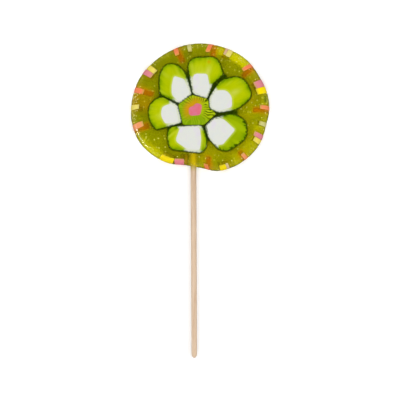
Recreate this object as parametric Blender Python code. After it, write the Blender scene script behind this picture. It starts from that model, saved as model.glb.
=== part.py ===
"""A flower lollipop: one slice of pulled candy on a birch stick, lying on its back.

The slice is a clear olive candy with a flower running right through it: six lime petals, each round a
white heart, and a green centre with a pink eye. Coloured candy strips are inlaid round the rim, from the
front face over the edge to the back face. The origin is on the eye's axis at the back face, +Z points to
the shown face and the stick runs along -Y.
"""

import math

import bmesh
import bpy
from mathutils import Vector

MM = 0.001  # all sizes below are in millimetres

# The slice
THICKNESS = 9.0
HEAD_CENTRE = Vector((3.0, 1.7))
# Distance from the centre to the edge, every 15 degrees anticlockwise from +X. The slice is uneven: it is
# widest at the lower sides and pulled in where the stick enters.
HEAD_RADII = (
    42.3, 41.7, 40.7, 40.7, 39.9, 39.3, 39.2, 39.3, 39.3, 39.9, 41.1, 41.8,
    42.5, 43.2, 43.0, 41.4, 39.5, 36.7, 37.0, 40.4, 41.8, 42.5, 42.7, 41.8,
)  # fmt: skip
HEAD_STEPS = 72
FRONT_ROUND = 5.5  # how far in from the edge the front face starts to fall away
BACK_ROUND = 3.0
WIDEST_HEIGHT = 3.2
FRONT_ROUND_STEPS = 6
BACK_ROUND_STEPS = 3

# The fit between neighbouring pieces
GAP = 0.3
CUT_PAST = 1.0  # how far a cutter runs past the face that it opens
ARC_STEP = 15.0  # degrees between points on a rounded corner
SAME_POINT = 0.02  # two arcs that meet share one point
SHARP_EDGE = 35  # degrees, two faces that meet at a larger angle keep a sharp edge

# The stick, a turned round rod with a domed free end
STICK_LENGTH = 140.0
STICK_TOP_DIAMETER = 3.6
STICK_TIP_DIAMETER = 3.4
STICK_DOME = 2.6
STICK_SIDES = 16
STICK_DOME_STEPS = 4
STICK_DOME_TURN = 80  # degrees, where the dome ends in a small flat
STICK_TOP = Vector((-1.35, -11.6))
STICK_LEAN = 0.25  # degrees, the free end towards +X

# The rim strips
STRIP_DEPTH = 1.0
STRIP_FACET = 3.5  # a wider strip is split so that it follows the round edge

# Outlines are corners with a radius, (x, y, r), seen from the front.
PETALS = {
    "top": (
        (-5.6, 31.7, 6.1), (13.2, 32.0, 5.5), (17.1, 21.5, 1.5),
        (10.3, 15.6, 3.7), (7.1, 6.8, 0.9), (-1.5, 9.5, 2.4),
    ),
    "upper_right": (
        (8.4, 1.0, 2.7), (8.4, 7.4, 3.7), (15.6, 18.1, 8.5), (29.0, 21.1, 9.8),
        (35.1, 7.8, 5.5), (24.7, -0.2, 12.2), (14.1, -1.8, 3.0),
    ),
    "lower_right": (
        (5.9, -10.1, 1.2), (11.0, -5.1, 1.8), (22.9, -2.3, 8.5), (30.8, -6.8, 6.1),
        (31.4, -17.2, 7.3), (20.4, -25.1, 5.5), (14.6, -24.7, 5.5), (7.9, -17.2, 6.1),
    ),
    "bottom": (
        (-15.5, -10.5, 7.0), (3.8, -9.5, 2.4), (6.9, -17.2, 13.4),
        (6.0, -26.7, 4.9), (-15.6, -24.2, 4.3), (-17.4, -15.4, 9.8),
    ),
    "left": (
        (-21.0, 8.1, 4.3), (-11.1, 2.8, 1.8), (-8.4, -7.9, 1.2),
        (-24.3, -12.4, 2.4), (-28.7, -5.0, 15.9), (-28.4, 3.5, 9.8),
    ),
    "upper_left": (
        (-21.8, 9.5, 3.0), (-22.1, 21.2, 13.4), (-18.0, 28.1, 8.5), (-10.7, 27.5, 7.3),
        (-5.8, 21.5, 9.8), (-2.4, 9.4, 1.2), (-10.1, 3.8, 1.2),
    ),
}  # fmt: skip
HEARTS = {
    "top": (
        (-1.3, 21.7, 2.4), (7.1, 21.7, 1.5), (8.7, 13.1, 1.8),
        (6.3, 7.9, 0.9), (-0.5, 10.7, 1.8), (-1.7, 15.7, 3.0),
    ),
    "upper_right": (
        (9.5, 1.5, 2.4), (9.6, 7.1, 3.0), (12.3, 11.6, 2.4), (18.8, 11.7, 4.3),
        (22.0, 7.8, 4.9), (22.1, 1.6, 1.2), (14.3, -0.9, 3.7),
    ),
    "lower_right": (
        (7.0, -10.1, 0.9), (11.2, -6.1, 0.9), (16.8, -5.7, 2.4), (24.1, -12.3, 0.9),
        (16.5, -21.2, 1.2), (12.9, -21.5, 1.2), (8.5, -16.6, 3.7),
    ),
    "bottom": (
        (-9.2, -10.8, 1.2), (2.5, -10.6, 1.8), (3.4, -17.8, 12.2),
        (2.6, -24.5, 0.7), (-4.6, -24.4, 6.1), (-12.2, -19.0, 2.4),
    ),
    "left": (
        (-15.2, 3.5, 1.8), (-12.1, 1.8, 1.8), (-10.1, -7.2, 0.9), (-11.6, -8.0, 0.9),
        (-18.5, -8.4, 1.2), (-21.1, -3.2, 5.5), (-20.1, 1.7, 2.4),
    ),
    "upper_left": (
        (-13.1, 20.4, 0.9), (-7.1, 18.5, 1.2), (-3.4, 10.2, 1.2), (-5.2, 8.4, 1.8),
        (-10.1, 4.8, 0.9), (-14.4, 9.0, 4.3), (-14.4, 14.5, 4.9),
    ),
}  # fmt: skip
FLOWER_CENTRE = (
    (-10.4, 3.0, 0.9), (-2.4, 8.7, 0.9), (7.5, 6.3, 0.9), (8.0, 0.7, 1.8),
    (12.6, -2.2, 0.7), (5.2, -9.1, 0.9), (-7.5, -9.1, 0.9),
)  # fmt: skip
FLOWER_EYE = (
    (-4.0, 1.2, 1.5), (-1.2, 2.1, 1.2), (0.5, 4.0, 1.5),
    (4.1, 2.9, 1.5), (2.9, -3.3, 1.5), (-3.8, -3.8, 1.5),
)  # fmt: skip

# Rim strips: colour, bearing in degrees clockwise from +Y, width at the edge, how far in from the edge it
# reaches on the front and on the back, and how many degrees it turns on its way from front to back. A strip
# narrows towards the middle of the slice, so that two side by side meet all along.
STRIPS = (
    ("cream", -10.5, 2.4, 5.0, 6.0, 0.0),
    ("salmon", 7.3, 2.6, 5.6, 7.0, 6.5),
    ("lilac", 24.6, 1.4, 4.6, 6.0, 0.0),
    ("yellow", 28.3, 3.0, 5.0, 6.0, 0.0),
    ("salmon", 49.0, 2.4, 6.7, 8.5, 5.0),
    ("lilac", 68.7, 4.5, 5.7, 6.5, 0.0),
    ("yellow", 75.1, 4.1, 6.2, 6.5, 0.0),
    ("salmon", 90.0, 2.4, 6.0, 9.5, 3.0),
    ("cream", 105.2, 2.5, 4.6, 5.5, 0.0),
    ("lilac", 116.2, 2.8, 6.0, 6.0, 0.0),
    ("yellow", 120.6, 2.9, 4.7, 5.5, 0.0),
    ("salmon", 138.3, 2.3, 4.1, 6.0, 0.0),
    ("lilac", 155.3, 1.4, 3.4, 5.0, 0.0),
    ("yellow", 159.5, 3.9, 3.2, 5.5, 0.0),
    ("salmon", 174.8, 2.4, 3.0, 8.0, -4.0),
    ("pink", 201.8, 5.5, 3.6, 6.8, -5.0),
    ("yellow", 212.6, 8.4, 3.5, 6.0, 0.0),
    ("salmon", 253.9, 3.5, 6.8, 9.5, -3.5),
    ("yellow", 270.1, 2.8, 5.0, 7.0, -2.0),
    ("salmon", 284.6, 3.2, 6.1, 11.5, 0.5),
    ("lilac", 302.4, 3.4, 6.0, 6.5, 0.0),
    ("yellow", 307.6, 3.2, 5.9, 6.5, 0.0),
    ("salmon", 336.0, 2.7, 4.8, 9.5, 3.0),
)

# Colour (sRGB), roughness and opacity of each candy and of the wood
FINISHES = {
    "clear": ((150, 150, 12), 0.06, 0.75),
    "lime": ((178, 203, 8), 0.15, 1.0),
    "white": ((228, 229, 222), 0.2, 1.0),
    "centre": ((150, 172, 12), 0.15, 1.0),
    "pink": ((224, 116, 146), 0.2, 1.0),
    "salmon": ((240, 132, 104), 0.2, 1.0),
    "yellow": ((238, 224, 70), 0.2, 1.0),
    "cream": ((222, 214, 160), 0.2, 1.0),
    "lilac": ((224, 134, 168), 0.2, 1.0),
    "birch": ((224, 196, 170), 0.6, 1.0),
}


def clear_scene():
    for obj in list(bpy.data.objects):
        bpy.data.objects.remove(obj)


def linear(value):
    """One sRGB channel, 0 to 255, as linear light."""
    value /= 255
    return value / 12.92 if value <= 0.04045 else ((value + 0.055) / 1.055) ** 2.4


def make_material(name):
    colour, roughness, alpha = FINISHES[name]
    material = bpy.data.materials.new(name)
    material.use_nodes = True
    shader = material.node_tree.nodes["Principled BSDF"]
    shader.inputs["Base Color"].default_value = (*map(linear, colour), 1.0)
    shader.inputs["Roughness"].default_value = roughness
    shader.inputs["Metallic"].default_value = 0.0
    shader.inputs["Alpha"].default_value = alpha
    return material


def new_object(name, points, faces, finish=None, bent=False):
    """An object from points in millimetres. Without a finish it is a cutter, which isn't part of the model.

    Bent faces are split into triangles, so that every face is flat where a cutter meets it.
    """
    mesh = bpy.data.meshes.new(name)
    mesh.from_pydata([Vector(point) * MM for point in points], [], faces)
    work = bmesh.new()
    work.from_mesh(mesh)
    bmesh.ops.recalc_face_normals(work, faces=work.faces)
    if bent:  # all but the two flat faces that close the head
        bmesh.ops.triangulate(work, faces=[face for face in work.faces if len(face.verts) < HEAD_STEPS])
    work.to_mesh(mesh)
    work.free()
    obj = bpy.data.objects.new(name, mesh)
    bpy.context.scene.collection.objects.link(obj)
    if finish is None:
        obj.hide_render = True
        obj.display_type = "WIRE"
    else:
        mesh.materials.append(make_material(finish))
        mesh.materials[0].name = f"{finish}_{name}"
    return obj


def smooth(obj):
    obj.data.shade_smooth()
    obj.data.set_sharp_from_angle(angle=math.radians(SHARP_EDGE))


def cut(target, cutter):
    modifier = target.modifiers.new(cutter.name, "BOOLEAN")
    modifier.operation = "DIFFERENCE"
    modifier.solver = "EXACT"
    modifier.object = cutter


def grow(corners, distance):
    """The corners of the outline that lies a distance outside this one."""
    points = [Vector(corner[:2]) for corner in corners]
    turn = sum(a.x * b.y - b.x * a.y for a, b in zip(points, points[1:] + points[:1]))
    side = 1 if turn > 0 else -1
    grown = []
    for before, (x, y, radius), after in zip(points[-1:] + points, corners, points[1:] + points[:1]):
        here = Vector((x, y))
        coming = (here - before).normalized()
        going = (after - here).normalized()
        normals = side * (Vector((coming.y, -coming.x)) + Vector((going.y, -going.x)))
        shift = distance * normals / (1 + coming.dot(going))
        bulges = side * coming.cross(going) > 0
        grown.append((*(here + shift), radius + (distance if bulges else -distance)))
    return grown


def turned(vector, angle):
    cosine, sine = math.cos(angle), math.sin(angle)
    return Vector((vector.x * cosine - vector.y * sine, vector.x * sine + vector.y * cosine))


def rounded(corners):
    """The outline's points, each corner turned into an arc that fits between its neighbours."""
    points = [Vector(corner[:2]) for corner in corners]
    outline = []
    for before, (_, _, radius), here, after in zip(
        points[-1:] + points, corners, points, points[1:] + points[:1]
    ):
        back, ahead = before - here, after - here
        half_angle = back.angle(ahead) / 2
        room = min(back.length, ahead.length) / 2
        reach = min(radius / math.tan(half_angle), room)
        radius = reach * math.tan(half_angle)
        back.normalize()
        ahead.normalize()
        centre = here + (back + ahead).normalized() * radius / math.sin(half_angle)
        start = here + back * reach - centre
        sweep = start.angle_signed(here + ahead * reach - centre)
        steps = max(2, math.ceil(abs(math.degrees(sweep)) / ARC_STEP))
        for step in range(steps + 1):
            point = centre + turned(start, -sweep * step / steps)
            if not outline or (point - outline[-1]).length > SAME_POINT:
                outline.append(point)
    if (outline[0] - outline[-1]).length < SAME_POINT:
        outline.pop()
    return outline


def prism(name, outline, low, high, finish=None):
    """An outline carried straight up from one height to another."""
    count = len(outline)
    points = [(*point, height) for height in (low, high) for point in outline]
    sides = [(i, (i + 1) % count, count + (i + 1) % count, count + i) for i in range(count)]
    caps = [tuple(range(count)), tuple(range(count, 2 * count))]
    return new_object(name, points, sides + caps, finish)


def column(name, corners, finish):
    """A piece of the flower, which runs from the back face to the front face."""
    return prism(name, rounded(corners), 0.0, THICKNESS, finish)


def pocket(name, corners):
    """The cutter that leaves the fitting gap round a piece of the flower."""
    return prism(f"{name}_pocket", rounded(grow(corners, GAP)), -CUT_PAST, THICKNESS + CUT_PAST)


def head_edge(angle):
    """Distance from the head's centre to its edge, on a smooth closed curve through HEAD_RADII."""
    count = len(HEAD_RADII)
    place = (angle / math.tau * count) % count
    first = int(place)
    t = place - first
    a, b, c, d = (HEAD_RADII[(first + k) % count] for k in (-1, 0, 1, 2))
    return b + 0.5 * t * (c - a + t * (2 * a - 5 * b + 4 * c - d + t * (3 * (b - c) + d - a)))


def head_point(angle, inset, height):
    """A point that far in from the edge, in that direction from the head's centre."""
    reach = head_edge(angle) - inset
    x, y = HEAD_CENTRE + reach * Vector((math.cos(angle), math.sin(angle)))
    return (x, y, height)


def rim_profile():
    """(inset, height) over the rounded edge, from the flat front to the flat back."""
    profile = []
    for step in range(FRONT_ROUND_STEPS + 1):
        turn = math.radians(90 * step / FRONT_ROUND_STEPS)
        drop = (THICKNESS - WIDEST_HEIGHT) * math.cos(turn)
        profile.append((FRONT_ROUND * (1 - math.sin(turn)), WIDEST_HEIGHT + drop))
    for step in range(1, BACK_ROUND_STEPS + 1):
        turn = math.radians(90 * step / BACK_ROUND_STEPS)
        profile.append((BACK_ROUND * (1 - math.cos(turn)), WIDEST_HEIGHT * (1 - math.sin(turn))))
    return profile


def make_head():
    """The clear slice before anything is cut from it: rings over the rounded edge, closed by flat faces."""
    profile = rim_profile()
    angles = [math.tau * step / HEAD_STEPS for step in range(HEAD_STEPS)]
    points = [head_point(angle, *station) for station in profile for angle in angles]
    faces = []
    for ring in range(len(profile) - 1):
        low, high = ring * HEAD_STEPS, (ring + 1) * HEAD_STEPS
        for i in range(HEAD_STEPS):
            j = (i + 1) % HEAD_STEPS
            faces.append((low + i, low + j, high + j, high + i))
    faces.append(tuple(range(HEAD_STEPS)))
    faces.append(tuple(range(len(points) - HEAD_STEPS, len(points))))
    return new_object("candy_head", points, faces, "clear", bent=True)


def strip_path(front_reach, back_reach):
    """(inset, height) along one strip, from its inner end on the front to its inner end on the back."""
    path = [Vector(station) for station in rim_profile()]
    if front_reach > FRONT_ROUND:
        path.insert(0, Vector((front_reach, THICKNESS)))
    else:
        turn = math.asin(1 - front_reach / FRONT_ROUND)
        height = WIDEST_HEIGHT + (THICKNESS - WIDEST_HEIGHT) * math.cos(turn)
        path = [station for station in path if station.x < front_reach or station.y < WIDEST_HEIGHT]
        path.insert(0, Vector((front_reach, height)))
    path.append(Vector((back_reach, 0.0)))
    return path


def offset_path(path, distance):
    """The path moved off the candy's surface: outwards for a positive distance."""
    moved = []
    last = len(path) - 1
    for i, station in enumerate(path):
        coming = (station - path[max(i - 1, 0)]).normalized()
        going = (path[min(i + 1, last)] - station).normalized()
        along = (coming + going).normalized()
        moved.append(station + distance * Vector((along.y, -along.x)))
    return moved


def rim_slab(name, strip, surface, depth, widen, lengthen, finish=None):
    """A slab that follows the rim: its outer face lies surface outside the candy, its inner face depth inside."""
    _, bearing, width, front_reach, back_reach, twist = strip
    path = strip_path(front_reach + lengthen, back_reach + lengthen)
    layers = (offset_path(path, surface), offset_path(path, -depth))
    columns = max(1, math.ceil(width / STRIP_FACET)) + 1
    across = [column / (columns - 1) - 0.5 for column in range(columns)]
    lengths = [0.0]
    for a, b in zip(path, path[1:]):
        lengths.append(lengths[-1] + (b - a).length)
    points = []
    for layer in layers:
        for station, travelled in zip(layer, lengths):
            middle = math.radians(90 - bearing - twist * travelled / lengths[-1])
            edge = head_edge(middle)
            span = width / edge + 2 * widen / (edge - station.x)
            points += [head_point(middle - share * span, *station) for share in across]
    rows = len(path)

    def index(layer, row, column):
        return (layer * rows + row) * columns + column

    faces = []
    for row in range(rows - 1):
        for column in range(columns - 1):
            for layer in (0, 1):
                faces.append(
                    (
                        index(layer, row, column),
                        index(layer, row, column + 1),
                        index(layer, row + 1, column + 1),
                        index(layer, row + 1, column),
                    )
                )
        for column in (0, columns - 1):
            faces.append(
                (
                    index(0, row, column),
                    index(0, row + 1, column),
                    index(1, row + 1, column),
                    index(1, row, column),
                )
            )
    for row in (0, rows - 1):
        outer = [index(0, row, column) for column in range(columns)]
        inner = [index(1, row, column) for column in reversed(range(columns))]
        faces.append(tuple(outer + inner))
    return new_object(name, points, faces, finish, bent=True)


def turned_rod(name, stations, finish=None):
    """A round rod along -Y from (distance, radius) stations, placed on the stick's axis."""
    points = []
    for distance, radius in stations:
        for side in range(STICK_SIDES):
            turn = math.tau * side / STICK_SIDES
            points.append((radius * math.cos(turn), -distance, radius * math.sin(turn)))
    faces = [tuple(range(STICK_SIDES)), tuple(range(len(points) - STICK_SIDES, len(points)))]
    for ring in range(len(stations) - 1):
        low, high = ring * STICK_SIDES, (ring + 1) * STICK_SIDES
        for i in range(STICK_SIDES):
            j = (i + 1) % STICK_SIDES
            faces.append((low + i, low + j, high + j, high + i))
    rod = new_object(name, points, faces, finish)
    rod.location = Vector((*STICK_TOP, THICKNESS / 2)) * MM
    rod.rotation_euler.z = math.radians(STICK_LEAN)
    return rod


def make_stick():
    top, tip = STICK_TOP_DIAMETER / 2, STICK_TIP_DIAMETER / 2
    stations = [(0.0, top), (STICK_LENGTH - STICK_DOME, tip)]
    for step in range(1, STICK_DOME_STEPS + 1):
        turn = math.radians(STICK_DOME_TURN * step / STICK_DOME_STEPS)
        stations.append((STICK_LENGTH - STICK_DOME * (1 - math.sin(turn)), tip * math.cos(turn)))
    return turned_rod("stick", stations, "birch")


def make_stick_bore():
    radius = STICK_TOP_DIAMETER / 2 + GAP
    head_depth = STICK_TOP.y - HEAD_CENTRE.y + max(HEAD_RADII)
    return turned_rod("stick_bore", [(-GAP, radius), (head_depth + CUT_PAST, radius)])


def make_flower(head, bore):
    for place, corners in PETALS.items():
        petal = column(f"petal_{place}", corners, "lime")
        cut(head, pocket(petal.name, corners))
        heart = column(f"heart_{place}", HEARTS[place], "white")
        cut(petal, pocket(heart.name, HEARTS[place]))
        for piece in (petal, heart):
            if place == "bottom":
                cut(piece, bore)
            smooth(piece)
    centre = column("flower_centre", FLOWER_CENTRE, "centre")
    cut(head, pocket(centre.name, FLOWER_CENTRE))
    eye = column("flower_eye", FLOWER_EYE, "pink")
    cut(centre, pocket(eye.name, FLOWER_EYE))
    for piece in (centre, eye):
        smooth(piece)


def make_strips(head):
    for number, strip in enumerate(STRIPS, start=1):
        colour = strip[0]
        name = f"rim_strip_{number:02d}_{colour}"
        smooth(rim_slab(name, strip, 0.0, STRIP_DEPTH, 0.0, 0.0, colour))
        cut(head, rim_slab(f"{name}_seat", strip, CUT_PAST, STRIP_DEPTH + GAP, GAP, GAP))


def main():
    clear_scene()
    head = make_head()
    bore = make_stick_bore()
    make_flower(head, bore)
    make_strips(head)
    cut(head, bore)
    smooth(head)
    smooth(make_stick())


main()
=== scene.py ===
import math

import bmesh
import bpy
import numpy as np
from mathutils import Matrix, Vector
from mathutils.bvhtree import BVHTree
from mathutils.geometry import delaunay_2d_cdt


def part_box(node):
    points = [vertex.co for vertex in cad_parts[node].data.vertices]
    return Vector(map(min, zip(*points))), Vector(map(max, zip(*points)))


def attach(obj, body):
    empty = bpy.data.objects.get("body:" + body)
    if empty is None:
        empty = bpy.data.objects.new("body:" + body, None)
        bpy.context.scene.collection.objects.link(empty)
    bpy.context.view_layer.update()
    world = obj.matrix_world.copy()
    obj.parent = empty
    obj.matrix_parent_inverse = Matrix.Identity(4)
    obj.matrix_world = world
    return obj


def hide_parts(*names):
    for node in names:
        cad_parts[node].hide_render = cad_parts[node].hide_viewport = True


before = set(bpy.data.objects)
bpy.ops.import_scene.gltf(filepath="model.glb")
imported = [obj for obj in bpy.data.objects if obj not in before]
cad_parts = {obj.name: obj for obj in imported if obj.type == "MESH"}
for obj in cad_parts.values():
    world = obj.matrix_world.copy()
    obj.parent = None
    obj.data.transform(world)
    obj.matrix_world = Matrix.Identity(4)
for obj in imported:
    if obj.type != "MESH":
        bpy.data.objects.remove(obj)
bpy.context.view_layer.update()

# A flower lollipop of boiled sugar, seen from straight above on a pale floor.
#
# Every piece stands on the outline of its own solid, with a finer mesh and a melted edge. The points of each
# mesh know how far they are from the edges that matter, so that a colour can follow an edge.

MM = 0.001
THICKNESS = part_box("candy_head")[1].z / MM
HEAD_CENTRE = Vector([(a + b) / 2 / MM for a, b in zip(*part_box("candy_head"))]).xy

# The camera and the photograph's frame
FRAME_PIXELS = 400
MM_PER_PIXEL = 0.61
FRAME_CENTRE = Vector((2.75, -55.0))  # mm, what the middle of the frame looks at
LENS = 120.0
SENSOR = 36.0

# The finer meshes, in mm
OUTLINE_STEP = 0.45
GRID_STEP = 0.6
EDGE_RADIUS = 0.1
SAME_SPOT = 0.002
SEAM = 0.14  # how far two neighbours each grow into the gap between their solids
SLIT = 0.02  # what is left between the clear sugar and what it is cast round
STRIP_VOXEL = 0.22
# The webs' dark green is painted shade: little light reaches the narrow webs of clear sugar between the
# petals.
WEB_FULL, WEB_NONE = 1.7, 2.8  # a web this wide or less is all dark, one wider than the other isn't
WIDE_WEBS = 1.5  # how much wider the dark webs on the right are
WIDE_FROM = ((1.0, 7.0), (-9.0, -5.0))  # over which X and which Y they widen
PALE_EDGE = (0.65, (1.4, 2.2), 0.8)  # a wide web's edge: how much paler, from which widths, how far out
PALE_MIDDLE = (0.25, 0.5, (1.4, 0.8))  # webs by the centre: how much paler, more at the lower left, where
LOWER_LEFT = (0.0, 8.0)  # how far to the lower left that starts and is reached

PLACES = ("top", "upper_right", "lower_right", "bottom", "left", "upper_left")
PALE = {"03": 0.5, "04": 0.6, "11": 0.35, "13": 0.7, "18": 0.2, "19": 0.5, "22": 0.4, "08": 0.1, "12": 0.2}
PALE_PATCHES = ((7.6, 23.0), (23.5, 10.4), (-19.0, -4.0))  # mm, where a petal is paler in a soft patch
WINDOW = (39.4, 44.4, 4.2, 8.8)  # mm, where the rim is clear between two strips: its reach in X and in Y
FILM = (-37.6, -34.3)  # mm, between which Y the film of sugar on the stick thins out to nothing
AMBER_SPOT = (8.2, 29.0)  # mm, a drop of amber at the top petal's edge
AMBER_RADIUS, AMBER_DEPTH = 0.9, 0.8  # its radius and its strength
PATCH_LONG, PATCH_WIDE, PATCH_DEPTH = 3.2, 1.5, 0.7  # how far a pale patch reaches along and across the petal, its strength
SHADED = {"lower_right": 0.55, "upper_left": 0.1}  # how much greener than the others a petal is

# Sides of the slice: the way each one faces, clockwise from +Y, its reach either way and its fade, in
# degrees. Depths are in mm, in from the edge.
# The glow is painted light: the white floor seen bright through the curved rim on these sides.
GLOW_SIDE = (231, 18, 2)
GLOW_DEPTHS = ((220, 232, 246), (4.8, 4.4, 2.6))  # how deep the glow is, each way that the rim faces
GLOW_PATCHES = ((1.0, 6.2, 5.4, (22, 9, 4)), (1.0, 6.2, 5.4, (41, 8, 4)), (0.45, 8.0, 6.0, (126, 16, 8)))
SHADE_SIDE = (305, 40, 40)
SHADE_PATCHES = ((5.8, 0.8, (38, 14, 16)), (5.4, 0.8, (234, 14, 14)))  # starting depth, strength, side
FIZZ_ALL_ROUND = 0.25
FIZZ_PATCHES = ((2.5, (268, 12, 10)), (0.2, (40, 20, 20)))  # how much thicker the bubbles are, side
FIZZ_INSET = 0.6
FIZZ_LEVELS = (0.5, 0.975)  # shares of the thickness
# Painted reflection of the strips' ends at the back, seen through the clear sugar: a patch on the left side,
# its strength and its depths.
REFLECTION_SIDE, REFLECTION_STRENGTH, REFLECTION_DEPTHS = (277, 7, 9), 0.45, (14.0, 11.0)
REFLECTED_STRIPS = {"salmon": 1.0, "lilac": 0.35}  # how strongly each strip's end at the back shows through
REFLECTION_REACH = 1.5
NEAR_BACK = 0.25 * THICKNESS
RIM_ROUNDING = 5.5  # how far in the rounding of the rim has its middle
RIM_WIDEST = 0.36 * THICKNESS  # the height at which the rim is widest
HOLE_WALL = 0.45  # how far from the stick the wall of its hole can be
BORE_ROOM = 0.3  # how much wider than the stick the hole through a petal and its heart is

# The stick, in mm
TOP_END = 0.5  # how much of its solid counts as its top end
SHOULDER = 1.3  # the points of its solid further than this from its middle are those of its full width
STICK_BEVEL = 0.3
TIP_LENGTH = 2.6
STICK_SIDES, BORE_SIDES = 40, 48

# Colours
HAZE_COLOURS = [(0.3, "#9ca402"), (0.45, "#a8a802"), (0.58, "#b2b002"), (0.72, "#bca804")]
# Painted light and shade in the clear window of the rim: lighter green, then dark green lines, then pale where
# the white floor shows through at the edge.
WINDOW_COLOURS = [
    (0.0, "#9a9802"),
    (0.12, "#bcbc10"),
    (0.4, "#b8ba10"),
    (0.5, "#506c08"),
    (0.75, "#4c6404"),
    (0.84, "#d4d890"),
]
STRIP_COLOURS = {
    "cream": ("#c8c268", "#dad494"),
    "salmon": ("#f48440", "#f48a66"),
    "lilac": ("#e08488", "#e08c98"),
    "yellow": ("#fcde00", "#fce80a"),
    "pink": ("#e88084", "#f08e9c"),
}
WHITE_SUGAR = (
    "white_pulled_sugar",
    0.22,
    160.0,
    [(0.35, "#dcdfdb"), (0.5, "#dfe1d8"), (0.65, "#dfdbe0")],
    (0.5, 0.3, "#d6de98"),
)
PINK_SUGAR = (
    "pink_sugar",
    0.2,
    300.0,
    [(0.3, "#da7892"), (0.55, "#dd6c80"), (0.7, "#e07a84")],
    (0.7, 0.6, "#cf8a5c"),
)
THREADS = 31.0  # dark threads round the eye
EVEN, SOFT = "LINEAR", "SMOOTHSTEP"  # how a share changes from one end of its span to the other

# The studio: angles in degrees, lengths in metres
SOFT_BOX_AZIMUTHS = (20, 110, 200, 290)
SOFT_BOX = dict(elevation=57, distance=1.6, width=0.8, height=0.8, radiance=4.1)
STRIP_LIGHT = dict(azimuth=244, elevation=4, distance=0.5, width=0.3, height=0.03, radiance=48.0)
SKY_COLOURS = [(0.47, "#282828"), (0.5, "#b4b4b4"), (0.56, "#a8a8a8"), (0.675, "#585858"), (0.925, "#181818")]
CLIP = (0.01, 20.0)
FLOOR_HALF = 3.0 / MM  # mm
FLOOR_LEVEL = -0.3  # mm
SCALE_LEVEL = THICKNESS * 0.7  # mm, the height at which a pixel of the frame is as wide as stated


# Colour and nodes


def colour(code):
    """An sRGB hex value as linear light."""
    channels = [int(code[i : i + 2], 16) / 255 for i in (1, 3, 5)]
    return (*(c / 12.92 if c <= 0.04045 else ((c + 0.055) / 1.055) ** 2.4 for c in channels), 1.0)


def add(tree, kind, inputs=None, stops=None, **settings):
    """A new node. An input is a value, or another node's output that is linked to it. Stops are a ramp's."""
    node = tree.nodes.new(kind)
    for name, value in settings.items():
        setattr(node, name, value)
    for name, value in (inputs or {}).items():
        if isinstance(value, bpy.types.NodeSocket):
            tree.links.new(value, node.inputs[name])
        elif isinstance(value, str) and value.startswith("#"):
            node.inputs[name].default_value = colour(value)
        else:
            node.inputs[name].default_value = value
    for position, code in stops or ():
        element = node.color_ramp.elements.new(position)
        element.color = colour(code)
    if stops:
        node.color_ramp.elements.remove(node.color_ramp.elements[0])
        node.color_ramp.elements.remove(node.color_ramp.elements[-1])
    return node


def new_material(name, **sockets):
    """A material with its shader's values, the tree that it is made in and the shader."""
    material = bpy.data.materials.new(name)
    material.use_nodes = True
    tree = material.node_tree
    shader = tree.nodes["Principled BSDF"]
    for socket, value in sockets.items():
        shader.inputs[socket.replace("_", " ")].default_value = value
    return material, tree, shader


# Outlines


def merged(node):
    """A node's solid with its loose triangles joined."""
    work = bmesh.new()
    work.from_mesh(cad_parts[node].data)
    bmesh.ops.remove_doubles(work, verts=work.verts, dist=SAME_SPOT * MM)
    return work


def flat_faces(work, height):
    """The faces that lie flat at that height in mm: keys, because these keep their order and a set doesn't."""
    return {
        face: None
        for face in work.faces
        if abs(face.normal.z) > 0.99 and abs(face.calc_center_median().z / MM - height) < 0.01
    }


def loops_round(faces):
    """The closed outlines of a set of faces, in mm, the longest first."""
    ahead = {}
    for face in faces:
        for loop in face.loops:
            if sum(f in faces for f in loop.edge.link_faces) == 1:
                ahead[loop.vert] = loop.link_loop_next.vert
    found = []
    while ahead:
        vertex, following = ahead.popitem()
        outline = [vertex.co.xy / MM]
        while following in ahead:
            outline.append(following.co.xy / MM)
            following = ahead.pop(following)
        found.append(np.array([tuple(p) for p in outline]))
    return sorted(found, key=lambda outline: -np.ptp(outline[:, 0]))


def outlines(node):
    """The outlines of a node's front face, the longest first."""
    work = merged(node)
    found = loops_round(flat_faces(work, THICKNESS))
    work.free()
    return found


def evenly(outline, step, smoothing=3):
    """The outline with points at even steps and its corners slightly melted."""
    closed = np.vstack([outline, outline[:1]])
    lengths = np.concatenate([[0], np.cumsum(np.linalg.norm(np.diff(closed, axis=0), axis=1))])
    count = max(12, round(lengths[-1] / step))
    places = np.linspace(0, lengths[-1], count, endpoint=False)
    even = np.stack([np.interp(places, lengths, closed[:, axis]) for axis in (0, 1)], axis=1)
    for _ in range(smoothing):
        even = 0.5 * even + 0.25 * (np.roll(even, 1, axis=0) + np.roll(even, -1, axis=0))
    return even


def anticlockwise(outline):
    """The outline, turned round if it runs clockwise."""
    x, y = outline.T
    area = np.sum(x * np.roll(y, -1) - np.roll(x, -1) * y)
    return outline if area > 0 else outline[::-1]


def moved_in(outline, distance):
    """An anticlockwise outline moved inwards by a distance, or outwards by a negative one."""
    ahead = np.roll(outline, -1, axis=0) - np.roll(outline, 1, axis=0)
    ahead /= np.linalg.norm(ahead, axis=1)[:, None]
    return outline + distance * np.stack([-ahead[:, 1], ahead[:, 0]], axis=1)


def distance_to(points, outline):
    """How far each point is from an outline."""
    best = np.full(len(points), np.inf)
    for a, d in zip(outline, np.roll(outline, -1, axis=0) - outline):
        t = np.clip((points - a) @ d / max(d @ d, 1e-12), 0, 1)
        best = np.minimum(best, np.linalg.norm(points - a - t[:, None] * d, axis=1))
    return best


def inside(points, outline):
    """True for the points that an outline holds."""
    hit = np.zeros(len(points), bool)
    for (ax, ay), (bx, by) in zip(outline, np.roll(outline, -1, axis=0)):
        if by != ay:
            crosses = (ay > points[:, 1]) != (by > points[:, 1])
            hit ^= crosses & (points[:, 0] < (bx - ax) * (points[:, 1] - ay) / (by - ay) + ax)
    return hit


def between(points, loops):
    """True for points inside the first outline and outside the others."""
    keep = inside(points, loops[0])
    for hole in loops[1:]:
        keep &= ~inside(points, hole)
    return keep


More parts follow.
